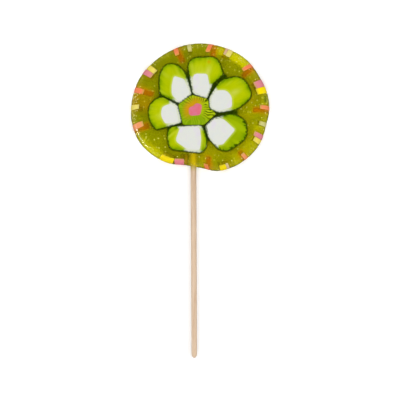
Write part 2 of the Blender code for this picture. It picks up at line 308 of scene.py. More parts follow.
def fill(loops, step, clear, extra=()):
    """Flat points and triangles that fill the first outline round the others. The outlines' own points come
    first, unchanged."""
    edges, first = [], 0
    for loop in loops:
        edges += [(first + i, first + (i + 1) % len(loop)) for i in range(len(loop))]
        first += len(loop)
    lowest, highest = loops[0].min(0), loops[0].max(0)
    inner = [ring[between(ring, loops)] for ring in extra]
    for i, y in enumerate(np.arange(lowest[1], highest[1], step * math.sqrt(3) / 2)):
        xs = np.arange(lowest[0] + (i % 2) * step / 2, highest[0], step)
        row = np.stack([xs, np.full(len(xs), y)], axis=1)
        row = row[between(row, loops)]
        if len(row):
            inner.append(row[np.min([distance_to(row, loop) for loop in loops], axis=0) > clear])
    everything = [Vector(p) for p in np.vstack([*loops, *inner])]
    points, _, faces, *_ = delaunay_2d_cdt(everything, edges, [], 0, SAME_SPOT / 10)
    flat = np.array([tuple(p) for p in points])
    triangles = np.array([tuple(f) for f in faces])
    triangles = triangles[between(flat[triangles].mean(1), loops)]
    used = np.unique(triangles)
    index = np.full(len(flat), -1)
    index[used] = np.arange(len(used))
    return flat[used], index[triangles]


# Meshes


def new_piece(name, points, faces, **layers):
    """A smooth mesh from points in mm, with a named number at each point."""
    mesh = bpy.data.meshes.new(name)
    mesh.from_pydata((np.array(points) * MM).tolist(), [], [tuple(map(int, face)) for face in faces])
    write_layers(mesh, **layers)
    work = bmesh.new()
    work.from_mesh(mesh)
    bmesh.ops.remove_doubles(work, verts=work.verts, dist=SAME_SPOT * MM / 4)
    bmesh.ops.recalc_face_normals(work, faces=work.faces)
    work.to_mesh(mesh)
    work.free()
    mesh.shade_smooth()
    piece = bpy.data.objects.new(name, mesh)
    bpy.context.scene.collection.objects.link(piece)
    return piece


def write_layers(mesh, **layers):
    """Writes named numbers, one at each point of a mesh."""
    for label, values in layers.items():
        layer = mesh.attributes.new(label, "FLOAT", "POINT")
        layer.data.foreach_set("value", np.asarray(values, np.float32))


def points_of(mesh):
    """The points of a mesh in mm, one to a row."""
    flat = np.zeros(len(mesh.vertices) * 3, np.float32)
    mesh.vertices.foreach_get("co", flat)
    return flat.reshape(-1, 3).astype(float) / MM


def column(name, own, cast_round=None, melt=EDGE_RADIUS, grow=0.0, **constants):
    """A piece that runs from the back face to the front face. Its points know how far they are from the
    piece's own edge and from the edge of what it is cast round."""
    loops = [moved_in(evenly(anticlockwise(own), OUTLINE_STEP), -grow)]
    if cast_round is not None:
        loops.append(moved_in(evenly(anticlockwise(cast_round), OUTLINE_STEP), SEAM))
    rings = [moved_in(loops[0], melt * share) for share in (0.3, 1.0)] if melt else []
    flat, triangles = fill(loops, GRID_STEP, melt + GRID_STEP / 2, rings)
    from_edge = distance_to(flat, loops[0])
    from_heart = distance_to(flat, loops[-1])
    short = np.maximum(melt - from_edge, 0)
    fall = melt - np.sqrt(np.maximum(melt**2 - short**2, 0))
    top = np.column_stack([flat, THICKNESS - fall])
    bottom = np.column_stack([flat, fall])
    count = len(flat)
    faces = [tuple(t) for t in triangles] + [tuple(count + t[::-1]) for t in triangles]
    sides = {(a, b) for t in triangles for a, b in ((t[0], t[1]), (t[1], t[2]), (t[2], t[0]))}
    faces += [(b, a, count + a, count + b) for a, b in sides if (b, a) not in sides]
    layers = {"from_edge": np.tile(from_edge, 2), "from_heart": np.tile(from_heart, 2)}
    layers |= {label: np.full(2 * count, value) for label, value in constants.items()}
    piece = new_piece(name, np.vstack([top, bottom]), faces, **layers)
    piece.data.set_sharp_from_angle(angle=math.radians(50))
    return piece


def bubbles_on(slice_piece, material):
    """Air bubbles scattered over the slice's rounded rim, thickest where its fizz is highest."""
    group = bpy.data.node_groups.new("air_bubbles", "GeometryNodeTree")
    sockets = {
        "Slice": ("NodeSocketGeometry", None),
        "Bubbles per square metre": ("NodeSocketFloat", 2.4e5),
        "Smallest radius": ("NodeSocketFloat", 0.1 * MM),
        "Largest radius": ("NodeSocketFloat", 0.32 * MM),
        "Seed": ("NodeSocketInt", 7),
    }
    for label, (kind, _) in sockets.items():
        group.interface.new_socket(label, in_out="INPUT", socket_type=kind)
    group.interface.new_socket("Bubbles", in_out="OUTPUT", socket_type="NodeSocketGeometry")
    given = add(group, "NodeGroupInput").outputs
    fizz = add(group, "GeometryNodeInputNamedAttribute", {"Name": "fizz"}, data_type="FLOAT").outputs[0]
    density = add(
        group, "ShaderNodeMath", {0: fizz, 1: given["Bubbles per square metre"]}, operation="MULTIPLY"
    )
    spots = add(
        group,
        "GeometryNodeDistributePointsOnFaces",
        {"Mesh": given["Slice"], "Density": density.outputs[0], "Seed": given["Seed"]},
    )
    ball = add(group, "GeometryNodeMeshIcoSphere", {"Radius": 1.0, "Subdivisions": 2})
    size = add(
        group,
        "FunctionNodeRandomValue",
        {2: given["Smallest radius"], 3: given["Largest radius"], "Seed": given["Seed"]},
        data_type="FLOAT",
    )
    placed = add(
        group,
        "GeometryNodeInstanceOnPoints",
        {"Points": spots.outputs["Points"], "Instance": ball.outputs["Mesh"], "Scale": size.outputs[1]},
    )
    real = add(group, "GeometryNodeRealizeInstances", {"Geometry": placed.outputs[0]})
    smooth = add(group, "GeometryNodeSetShadeSmooth", {"Geometry": real.outputs[0]})
    finished = add(group, "GeometryNodeSetMaterial", {"Geometry": smooth.outputs[0], "Material": material})
    add(group, "NodeGroupOutput", {"Bubbles": finished.outputs[0]})
    piece = bpy.data.objects.new("air_bubbles", slice_piece.data.copy())
    bpy.context.scene.collection.objects.link(piece)
    scatter = piece.modifiers.new("scatter", "NODES")
    scatter.node_group = group
    for item in group.interface.items_tree:
        if item.in_out == "INPUT" and sockets[item.name][1] is not None:
            scatter[item.identifier] = sockets[item.name][1]
    settle(piece)
    flush = points_of(piece.data).clip(max=(np.inf, np.inf, THICKNESS)) * MM
    piece.data.vertices.foreach_set("co", flush.astype(np.float32).ravel())
    return piece


def bored(piece):
    """The piece with the stick's hole through it, taken from a solid rod on the stick's own axis."""
    start, end, radius, _ = stick_line()
    wide = radius + BORE_ROOM
    rod = lathe("bore", start, end, [(-BORE_ROOM, wide), ((end - start).length, wide)], BORE_SIDES)
    cut = piece.modifiers.new("bore", "BOOLEAN")
    cut.operation, cut.solver, cut.object = "DIFFERENCE", "EXACT", rod
    settle(piece)
    bpy.data.objects.remove(rod)
    return piece


def settle(piece):
    """Turns the piece's modifiers into plain mesh."""
    seen = piece.evaluated_get(bpy.context.evaluated_depsgraph_get())
    mesh = bpy.data.meshes.new_from_object(seen)
    piece.modifiers.clear()
    piece.data = mesh
    return piece


def rim_radius():
    """The slice's edge, seen from above: its distance from the middle in each of many directions."""
    spots = [points_of(node.data)[:, :2] for name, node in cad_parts.items() if name != "stick"]
    spots = np.vstack(spots) - np.array(HEAD_CENTRE)
    turn = np.arctan2(spots[:, 1], spots[:, 0])
    reach = np.linalg.norm(spots, axis=1)
    angles = np.radians(np.arange(0, 360, 5))
    far = []
    for angle in angles:
        near = np.abs((turn - angle + math.pi) % math.tau - math.pi) < math.radians(3.5)
        far.append(reach[near].max())
    return angles, np.array(far)


RIM = rim_radius()


def from_rim(points):
    """How far in from the slice's edge each point is, seen from above."""
    spots = points[:, :2] - np.array(HEAD_CENTRE)
    turn = np.arctan2(spots[:, 1], spots[:, 0]) % math.tau
    return np.interp(turn, RIM[0], RIM[1], period=math.tau) - np.linalg.norm(spots, axis=1)


def fine_slice(strips):
    """The clear slice: every face of its solid, with the two flat ones split finely. It meets the strips."""
    work = merged("candy_head")
    flats = []
    for height in (0.0, THICKNESS):
        faces = flat_faces(work, height)
        flat, triangles = fill(loops_round(faces), GRID_STEP, GRID_STEP / 2)
        flats.append((np.column_stack([flat, np.full(len(flat), height)]), triangles))
        bmesh.ops.delete(work, geom=list(faces), context="FACES_ONLY")
    work.verts.ensure_lookup_table()
    points = [np.array([tuple(v.co / MM) for v in work.verts])]
    faces = [tuple(v.index for v in face.verts) for face in work.faces]
    work.free()
    count = len(points[0])
    for flat, triangles in flats:
        points.append(flat)
        faces += [tuple(count + t) for t in triangles]
        count += len(flat)
    points = closed_on(close_hole(np.vstack(points)), strips)
    piece = new_piece("clear_slice", points, faces)
    piece.data.set_sharp_from_angle(angle=math.radians(35))
    places = points_of(piece.data)
    mark_webs(piece.data, places)
    mark_rim(piece.data, places)
    mark_reflections_and_wetting(piece.data, places, strips)
    return piece


def eased(values, start, stop):
    """0 up to the start, 1 past the stop and evenly between them. The stop may be the lower of the two."""
    return np.clip((values - start) / (stop - start), 0, 1)


def mark_webs(mesh, places):
    """Writes how far each point is from the nearest petal, and how much painted shade darkens the narrow webs
    between the petals.
    """
    flower = [outlines(node)[0] for node in (*(f"petal_{place}" for place in PLACES), "flower_centre")]
    away = np.sort([np.maximum(distance_to(places[:, :2], edge) - 2 * SEAM, 0) for edge in flower], axis=0)
    width = away[0] + away[1]
    wider = WIDE_WEBS * eased(places[:, 0], *WIDE_FROM[0]) * eased(places[:, 1], *WIDE_FROM[1])
    web = eased(width, WEB_NONE + wider, WEB_FULL + wider)
    paler, widths, out = PALE_EDGE
    web *= 1 - paler * eased(width, *widths) * eased(away[0], out, 0.0)
    paler, more, reach = PALE_MIDDLE
    lower_left = eased(-places[:, 1] - 0.5 * places[:, 0], *LOWER_LEFT)
    web *= 1 - (paler + more * lower_left) * eased(distance_to(places[:, :2], flower[-1]), *reach)
    write_layers(mesh, from_petal=away[0], web=web)


def mark_rim(mesh, places):
    """Writes where the rim has a painted glow of the white floor seen through it, where it is in shade, and
    how thick the air bubbles are in it.
    """
    inset = from_rim(places)
    deep = np.interp(azimuths(places), *GLOW_DEPTHS)
    band = facing(places, *GLOW_SIDE) * eased(inset, deep, deep - 0.5)
    for strength, outer, inner, side in GLOW_PATCHES:
        band = np.maximum(band, strength * facing(places, *side) * eased(inset, outer, inner))
    shade = facing(places, *SHADE_SIDE)
    for start, most, side in SHADE_PATCHES:
        shade = np.maximum(shade, facing(places, *side) * np.clip(inset - start, 0, most))
    fizz = FIZZ_ALL_ROUND
    for strength, side in FIZZ_PATCHES:
        fizz = fizz + strength * facing(places, *side)
    low, high = (THICKNESS * level for level in FIZZ_LEVELS)
    rim = (inset > FIZZ_INSET) & (places[:, 2] > low) & (places[:, 2] < high)
    write_layers(mesh, band=band, shade=shade, fizz=rim * fizz)


def mark_reflections_and_wetting(mesh, places, strips):
    """Writes a painted reflection of the strips' ends at the back, seen through the clear sugar, with a
    further patch of it on the left side, and where the slice wets the stick."""
    smudge = REFLECTION_STRENGTH * facing(places, *REFLECTION_SIDE) * eased(from_rim(places), *REFLECTION_DEPTHS)
    for strip in strips:
        strength = REFLECTED_STRIPS.get(strip.name.rsplit("_", 1)[1], 0.0)
        if strength:
            spots = points_of(strip.data)
            spots = spots[spots[:, 2] < NEAR_BACK][::9, :2]  # every ninth is close enough to the next
            off = np.linalg.norm(places[:, None, :2] - spots[None], axis=2).min(1)
            smudge = np.maximum(smudge, strength * eased(off, REFLECTION_REACH, 0.0))
    _, off, beside = round_stick(places)
    wetted = beside & (off < stick_line()[2] + 3 * SLIT)
    write_layers(mesh, smudge=smudge, wetted=wetted)


def azimuths(points):
    """Each point's direction from the slice's middle, in degrees clockwise from +Y."""
    spots = points[:, :2] - np.array(HEAD_CENTRE)
    return np.degrees(np.arctan2(spots[:, 0], spots[:, 1])) % 360


def facing(points, azimuth, reach, fade):
    """1 on the side of the slice that faces an azimuth, clockwise from +Y, and 0 past its reach."""
    off = np.abs((azimuths(points) - azimuth + 180) % 360 - 180)
    return np.clip((reach + fade - off) / fade, 0, 1)


def closed_on(points, strips):
    """The slice's points, with the walls of the strips' pockets moved in until they nearly touch them."""
    for strip in strips:
        surface = BVHTree.FromPolygons(
            [v.co / MM for v in strip.data.vertices], [tuple(face.vertices) for face in strip.data.polygons]
        )
        lowest, highest = points_of(strip.data).min(0) - 0.5, points_of(strip.data).max(0) + 0.5
        for i in np.flatnonzero(np.all((points > lowest) & (points < highest), axis=1)):
            spot, _, _, away = surface.find_nearest(Vector(points[i]))
            if SLIT < away < 0.5:
                points[i] = spot + (Vector(points[i]) - spot) * (SLIT / away)
    return points


def round_stick(points):
    """The way out from the stick's axis to each point, its length, and True where it is beside the stick."""
    start, end, _, _ = stick_line()
    axis = np.array((end - start).normalized())
    spots = points - np.array(start)
    along = spots @ axis
    out = spots - along[:, None] * axis
    return out, np.linalg.norm(out, axis=1), along > -1.0


def close_hole(points):
    """The slice's points, with the wall of the stick's hole moved in until it nearly touches the stick."""
    radius = stick_line()[2]
    out, off, beside = round_stick(points)
    wall = (off > radius) & (off < radius + HOLE_WALL) & beside
    points[wall] += out[wall] / off[wall][:, None] * (radius + SLIT - off[wall])[:, None]
    return points


def melted_strip(name, node):
    """A rim strip with melted edges. Its points know how far they are from the strip's inner end."""
    work = merged(node)
    mesh = bpy.data.meshes.new(name)
    work.to_mesh(mesh)
    work.free()
    piece = bpy.data.objects.new(name, mesh)
    bpy.context.scene.collection.objects.link(piece)
    remesh = piece.modifiers.new("melt", "REMESH")
    remesh.mode, remesh.voxel_size, remesh.use_smooth_shade = "VOXEL", STRIP_VOXEL * MM, True
    soften = piece.modifiers.new("soften", "SMOOTH")
    soften.factor, soften.iterations = 0.5, 3
    settle(piece)
    places = points_of(piece.data)
    inset = from_rim(places)
    front = places[:, 2] > RIM_WIDEST
    ends = np.where(front, inset[front].max(), inset[~front].max())
    pale = np.full(len(places), PALE.get(node.split("_")[2], 0.0))
    write_layers(piece.data, from_end=ends - inset, front=front.astype(float), pale=pale)
    spread_sideways(piece.data, places, inset)
    piece.data.shade_smooth()
    return piece


def spread_sideways(mesh, places, inset):
    """Moves a strip's sides and ends into the gap round it. Its outer face stays flush with the slice."""
    normals = np.zeros(len(mesh.vertices) * 3, np.float32)
    mesh.vertices.foreach_get("normal", normals)
    normals = normals.reshape(-1, 3).astype(float)
    spots = places[:, :2] - np.array(HEAD_CENTRE)
    radial = spots / np.linalg.norm(spots, axis=1)[:, None]
    over = np.column_stack([radial * np.maximum(RIM_ROUNDING - inset, 0)[:, None], places[:, 2] - RIM_WIDEST])
    over /= np.linalg.norm(over, axis=1)[:, None]
    along = normals - np.sum(normals * over, axis=1)[:, None] * over
    moved = (places + SEAM * along).clip((-np.inf, -np.inf, 0.0), (np.inf, np.inf, THICKNESS)) * MM
    mesh.vertices.foreach_set("co", moved.astype(np.float32).ravel())
    mesh.update()


def stick_line():
    """Where the stick's axis starts and ends, in mm, and its radius there, read from its solid."""
    places = points_of(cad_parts["stick"].data)
    high, low = places[:, 1].max(), places[:, 1].min()
    top = places[places[:, 1] > high - TOP_END]
    body = places[places[:, 1] < high - TOP_END]
    shoulder = body[np.abs(body[:, 0] - np.median(body[:, 0])) > SHOULDER]
    start = Vector(top.mean(0))
    lean = (np.median(body[:, 0]) - start.x) / (high - low)
    end = Vector((start.x + lean * (high - low), low, start.z))
    return start, end, np.ptp(top[:, 0]) / 2, np.ptp(shoulder[:, 0]) / 2


def lathe(name, start, end, stations, sides):
    """A closed round body along a line, from (distance, radius) stations."""
    along = (end - start).normalized()
    across = along.cross(Vector((0, 0, 1))).normalized()
    up = across.cross(along)
    points = []
    for distance, radius in stations:
        for side in range(sides):
            turn = math.tau * side / sides
            spot = start + along * distance + (across * math.cos(turn) + up * math.sin(turn)) * radius
            points.append(tuple(spot))
    faces = [tuple(range(sides)), tuple(range(len(points) - sides, len(points)))]
    for ring in range(len(stations) - 1):
        for i in range(sides):
            j = (i + 1) % sides
            faces.append((ring * sides + i, ring * sides + j, (ring + 1) * sides + j, (ring + 1) * sides + i))
    return new_piece(name, points, faces)


def dress(piece, node, material):
    """The piece rides with the part and stands for its solid."""
    piece.data.materials.clear()
    piece.data.materials.append(material)
    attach(piece, "root")
    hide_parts(node)


# Finishes


def clear_sugar():
    """Boiled sugar with no air pulled into it: clear, with an olive green haze of its own. Next to the petals,
    and in the narrow webs between them, painted shade darkens it to a dark green. The wall of its hole wets
    the stick and is not clear, so that the stick shows in its full width."""
    material, tree, shader = new_material(
        "clear_boiled_sugar",
        Roughness=0.25,
        IOR=1.5,
        Transmission_Weight=0.8,
        Specular_IOR_Level=0.0,
        Specular_Tint=(0.25, 0.25, 0.25, 1.0),
        Coat_Weight=0.5,
        Coat_Roughness=0.05,
        Coat_IOR=1.5,
    )
    where = add(tree, "ShaderNodeTexCoord").outputs["Object"]
    place = add(tree, "ShaderNodeSeparateXYZ", {0: where}).outputs
    turned = add(tree, "ShaderNodeNewGeometry").outputs["Normal"]
    upward = add(tree, "ShaderNodeSeparateXYZ", {0: turned}).outputs["Z"]
    known = {
        label: add(tree, "ShaderNodeAttribute", attribute_name=label).outputs["Fac"]
        for label in ("from_petal", "web", "band", "shade", "wetted", "smudge")
    }
    noise = {}
    for label, scale, detail, roughness in (
        ("clouds", 100.0, 4.0, 0.6),
        ("fizzing", 130.0, 1.0, 0.5),
        ("mottle", 700.0, 2.0, 0.5),
        ("ripple", 220.0, 1.0, 0.5),
    ):
        values = {"Vector": where, "Scale": scale, "Detail": detail, "Roughness": roughness}
        noise[label] = add(tree, "ShaderNodeTexNoise", values, label=label).outputs["Fac"]
    specks = add(
        tree,
        "ShaderNodeTexVoronoi",
        {"Vector": where, "Scale": 300.0, "Randomness": 1.0},
        voronoi_dimensions="2D",
    ).outputs["Distance"]
    start, end, radius, _ = stick_line()
    lean = (end.x - start.x) / (end.y - start.y)
    beside = add(
        tree,
        "ShaderNodeVectorMath",
        {0: where, 1: (1.0 / MM, -lean / MM, 0.0)},
        operation="DOT_PRODUCT",
    ).outputs["Value"]
    off = {}
    for label, value, middle in (
        ("stick", beside, start.x - lean * start.y),
        ("window", place["Y"], (WINDOW[2] + WINDOW[3]) / 2 * MM),
    ):
        signed = add(tree, "ShaderNodeMath", {0: value, 1: middle}, operation="SUBTRACT").outputs[0]
        off[label] = add(tree, "ShaderNodeMath", {0: signed}, operation="ABSOLUTE", label=label).outputs[0]
    half_window = (WINDOW[3] - WINDOW[2]) / 2
    span = {}
    for label, value, (low, high), (first, last), bend in (
        ("clearness", known["wetted"], (0.0, 1.0), (0.8, 0.0), EVEN),
        ("rounded edge", upward, (1.0, 0.7), (0.0, 0.7), EVEN),
        ("torn", noise["clouds"], (0.3, 0.6), (0.5, 1.0), EVEN),
        ("over stick", off["stick"], (radius, radius + 1.0), (0.75, 0.0), EVEN),
        ("below flower", place["Y"], (-25.5 * MM, -26.5 * MM), (0.0, 1.0), EVEN),
        ("speck", specks, (0.08, 0.17), (0.9, 0.0), EVEN),
        ("fizzing", noise["fizzing"], (0.44, 0.56), (0.0, 1.0), EVEN),
        ("across window", place["X"], (WINDOW[0] * MM, WINDOW[1] * MM), (0.0, 1.0), EVEN),
        ("in window", off["window"], ((half_window - 0.5) * MM, half_window * MM), (0.8, 0.0), EVEN),
        # painted shade: the clear sugar darkens beside the petals
        ("bleed", known["from_petal"], (0.0, 1.0), (0.75, 0.0), SOFT),
        # painted shade: a dark line where the rim's surface turns away near its outline
        ("edge_shade", upward, (0.2, 0.55), (0.3, 0.0), SOFT),
    ):
        limits = {"Value": value, "From Min": low, "From Max": high, "To Min": first, "To Max": last}
        span[label] = add(tree, "ShaderNodeMapRange", limits, interpolation_type=bend, label=label).outputs[0]
    outward = add(
        tree, "ShaderNodeMath", {0: place["X"], 1: WINDOW[0] * MM}, operation="GREATER_THAN"
    ).outputs[0]
    both = {}
    for label, one, other in (
        ("shaded side", known["shade"], 0.6),
        ("smudge", known["smudge"], span["torn"]),
        ("over stick", span["over stick"], span["below flower"]),
        ("speck", span["speck"], span["fizzing"]),
        ("window", span["in window"], outward),
    ):
        product = add(tree, "ShaderNodeMath", {0: one, 1: other}, operation="MULTIPLY", label=label)
        both[label] = product.outputs[0]
    ramp = {}
    for label, value, stops in (
        ("haze", noise["clouds"], HAZE_COLOURS),
        ("window", span["across window"], WINDOW_COLOURS),
        # painted shade in the narrow webs: mottled dark greens
        ("web", noise["mottle"], [(0.4, "#244600"), (0.6, "#426200"), (0.7, "#708c00")]),
    ):
        ramp[label] = add(tree, "ShaderNodeValToRGB", {0: value}, stops=stops, label=label).outputs[0]
    paint = ramp["haze"]
    for label, share, tint in (
        ("shaded side", both["shaded side"], "#8e9600"),
        # paler where the rim rounds off: thinner sugar there, and painted light that enters from the side
        ("thin rounded edge", span["rounded edge"], "#c4c006"),
        # painted light: the rim's glow of the white floor seen through it
        ("lit band", known["band"], "#dcd804"),
        # painted reflection of the strips' ends at the back, seen through the clear sugar
        ("smudge", both["smudge"], "#dc9608"),
        ("over the stick", both["over stick"], "#ead210"),
        # painted light and shade: the white floor seen through the clear window of the rim
        ("window", both["window"], ramp["window"]),
        ("specks", both["speck"], "#f4f080"),
        # Painted shade: dark green beside the petals and in the narrow webs between them.
        ("painted shade by the petals", span["bleed"], "#384800"),
        ("web", known["web"], ramp["web"]),
        # painted shade: a dark green line just inside the rim's outline
        ("edge_shade", span["edge_shade"], "#5c6400"),
    ):
        layer = {"Factor": share, "A": paint, "B": tint}
        paint = add(tree, "ShaderNodeMix", layer, data_type="RGBA", label=label).outputs["Result"]
    bump = add(tree, "ShaderNodeBump", {"Height": noise["ripple"], "Strength": 0.1, "Distance": 0.0004})
    shadow = add(tree, "ShaderNodeLightPath").outputs["Is Shadow Ray"]
    lamp = add(tree, "ShaderNodeBsdfTransparent")
    surface = add(tree, "ShaderNodeMixShader", {0: shadow, 1: shader.outputs[0], 2: lamp.outputs[0]})
    depth = add(tree, "ShaderNodeVolumeAbsorption", {"Color": (0.86, 0.855, 0.02, 1.0), "Density": 40.0})
    output = tree.nodes["Material Output"]
    for output_socket, input_socket in (
        (span["clearness"], shader.inputs["Transmission Weight"]),
        (paint, shader.inputs["Base Color"]),
        (bump.outputs[0], shader.inputs["Normal"]),
        (surface.outputs[0], output.inputs["Surface"]),
        (depth.outputs[0], output.inputs["Volume"]),
    ):
        tree.links.new(output_socket, input_socket)
    return material


def places_round_eye(tree, per_radian, per_metre):
    """The place in the slice, its bearing from the eye, and its bearing and reach, each stretched."""
    where = add(tree, "ShaderNodeTexCoord").outputs["Object"]
    place = add(tree, "ShaderNodeSeparateXYZ", {0: where}).outputs
    bearing = add(tree, "ShaderNodeMath", {0: place["Y"], 1: place["X"]}, operation="ARCTAN2").outputs[0]
    reach = add(tree, "ShaderNodeVectorMath", {0: where}, operation="LENGTH").outputs["Value"]
    across, out = (
        add(tree, "ShaderNodeMath", {0: value, 1: stretch}, operation="MULTIPLY").outputs[0]
        for value, stretch in ((bearing, per_radian), (reach, per_metre))
    )
    return where, bearing, add(tree, "ShaderNodeCombineXYZ", {"X": across, "Y": out}).outputs[0]


def lime_sugar():
    """Pulled lime sugar: opaque and glossy, streaked outwards, darker where it melts into the clear sugar."""
    material, tree, shader = new_material("lime_pulled_sugar", Roughness=0.16, IOR=1.5)
    where, _, polar = places_round_eye(tree, 9.0, 90.0)
    known = {
        label: add(tree, "ShaderNodeAttribute", attribute_name=label).outputs["Fac"]
        for label in ("from_edge", "from_heart", "shaded", "wash", "amber")
    }
    stretched = add(tree, "ShaderNodeMapping", {"Vector": polar, "Scale": (4.5, 1.2, 1.0)}).outputs[0]
    noise = {}
    for label, vector, scale, detail in (
        ("streaks", polar, 1.0, 3.0),
        ("fine", stretched, 1.0, 2.0),
        ("patches", polar, 0.7, 1.0),
        ("ragged", where, 900.0, 2.0),
    ):
        values = {"Vector": vector, "Scale": scale, "Detail": detail}
        noise[label] = add(tree, "ShaderNodeTexNoise", values, label=label).outputs["Fac"]
    edge, heart = known["from_edge"], known["from_heart"]
    wall = add(tree, "ShaderNodeMath", {0: edge, 1: heart}, operation="ADD").outputs[0]
    span = {}
    for label, value, (low, high), (first, last), bend in (
        ("wander", noise["streaks"], (0.3, 0.7), (1.1, -1.1), EVEN),
        ("brushed", noise["fine"], (0.5, 0.7), (0.0, 0.22), EVEN),
        ("washed", noise["patches"], (0.55, 0.75), (0.0, 0.45), EVEN),
        ("blotch", noise["patches"], (0.48, 0.6), (0.0, 1.2), EVEN),
        ("by the heart", heart, (0.0, 1.5), (0.6, 0.0), SOFT),
        ("thin wall", wall, (1.5, 2.6), (0.85, 0.0), SOFT),
        ("ragged", noise["ragged"], (0.4, 0.7), (0.05, -0.55), EVEN),
        ("tick", noise["fine"], (0.48, 0.66), (0.0, 2.2), EVEN),
    ):
        limits = {"Value": value, "From Min": low, "From Max": high, "To Min": first, "To Max": last}
        span[label] = add(tree, "ShaderNodeMapRange", limits, interpolation_type=bend, label=label).outputs[0]
    depth, blotch, ticked, tick = (
        add(tree, "ShaderNodeMath", {0: one, 1: other}, operation=operation).outputs[0]
        for one, operation, other in (
            (edge, "ADD", span["wander"]),
            (known["shaded"], "MULTIPLY", span["blotch"]),
            (edge, "ADD", span["ragged"]),
            (known["shaded"], "MULTIPLY", span["tick"]),
        )
    )
    into, streaked = (
        add(tree, "ShaderNodeMath", {0: one, 1: other}, operation=operation).outputs[0]
        for one, operation, other in ((depth, "DIVIDE", 6.0), (ticked, "SUBTRACT", tick))
    )
    rim = add(
        tree,
        "ShaderNodeMapRange",
        {"Value": streaked, "From Min": 0.05, "From Max": 0.6, "To Min": 0.85, "To Max": 0.0},
        interpolation_type=SOFT,
    ).outputs[0]
    paint = add(
        tree,
        "ShaderNodeValToRGB",
        {0: into},
        stops=[(0.0, "#688a00"), (0.15, "#86a400"), (0.4, "#a8bb00"), (0.75, "#b6c400")],
    ).outputs[0]
    for label, share, tint in (
        ("brushed", span["brushed"], "#8fa800"),
        ("washed", span["washed"], "#ccd43c"),
        ("greener petal", known["shaded"], "#6f9400"),
        ("blotch", blotch, "#a2ba00"),
        ("pale by the heart", span["by the heart"], "#cfda5c"),
        ("thin wall", span["thin wall"], "#dcdfd0"),
        ("paler patch", known["wash"], "#ccd254"),
        ("amber spot", known["amber"], "#cc9c00"),
        ("dark rim", rim, "#1e3800"),
    ):
        layer = {"Factor": share, "A": paint, "B": tint}
        paint = add(tree, "ShaderNodeMix", layer, data_type="RGBA", label=label).outputs["Result"]
    tree.links.new(paint, shader.inputs["Base Color"])
    return material


def clouded_sugar(name, roughness, scale, stops, melt):
    """Opaque sugar with soft clouds in it. Melt is how far in its edge melts, how much, and its colour."""
    material, tree, shader = new_material(name, Roughness=roughness, IOR=1.5)
    where = add(tree, "ShaderNodeTexCoord").outputs["Object"]
    edge = add(tree, "ShaderNodeAttribute", attribute_name="from_edge").outputs["Fac"]
    drift = add(tree, "ShaderNodeTexNoise", {"Vector": where, "Scale": scale, "Detail": 2.0}).outputs["Fac"]
    body = add(tree, "ShaderNodeValToRGB", {0: drift}, stops=stops).outputs[0]
    reach, strength, tint = melt
    rim = add(
        tree,
        "ShaderNodeMapRange",
        {"Value": edge, "From Min": 0.0, "From Max": reach, "To Min": strength, "To Max": 0.0},
        interpolation_type=SOFT,
    ).outputs[0]
    whole = add(tree, "ShaderNodeMix", {"Factor": rim, "A": body, "B": tint}, data_type="RGBA")
    tree.links.new(whole.outputs["Result"], shader.inputs["Base Color"])
    return material


